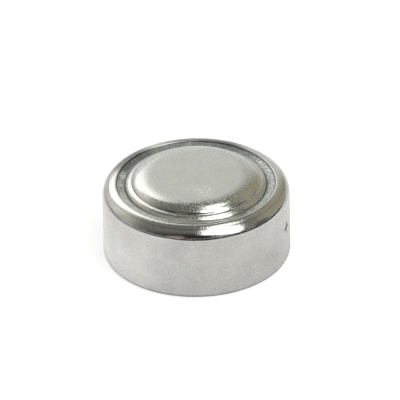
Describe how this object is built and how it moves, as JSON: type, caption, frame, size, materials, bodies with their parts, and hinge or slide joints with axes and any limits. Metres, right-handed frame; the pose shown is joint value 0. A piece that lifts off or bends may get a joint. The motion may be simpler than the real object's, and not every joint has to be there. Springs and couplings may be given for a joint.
{
  "type": "silver oxide button cell",
  "caption": "Round sealed watch battery: crimped steel can, stepped domed cap and nylon gasket, with the positive face flat below and the negative contact on top.",
  "frame": {"origin": "centre of the positive face, on the surface the cell stands on", "axes": "+Z along the cell's axis, from the positive face up to the flat of the negative cap; X and Y are equal, as every piece is turned about Z"},
  "size_m": [0.0116, 0.0116, 0.0054],
  "materials": {
    "can_steel": "nickel-plated steel, satin wall and bright crimped shoulder",
    "cap_steel": "nickel-faced clad sheet, fine frosted flat and bright pressed edges",
    "gasket_nylon": "translucent nylon with a sealant film",
    "silver_oxide": "matt pressed powder",
    "sleeve_steel": "nickel-plated steel",
    "barrier_film": "laminated cellulose film",
    "absorbent_felt": "wet non-woven felt",
    "zinc_gel": "zinc powder in gelled electrolyte"
  },
  "bodies": {
    "root": {"cathode_can": "can_steel", "anode_cap": "cap_steel", "sealing_gasket": "gasket_nylon", "cathode_pellet": "silver_oxide", "cathode_sleeve": "sleeve_steel", "barrier_disc": "barrier_film", "absorbent_disc": "absorbent_felt", "anode_gel": "zinc_gel"}
  },
  "joints": []
}
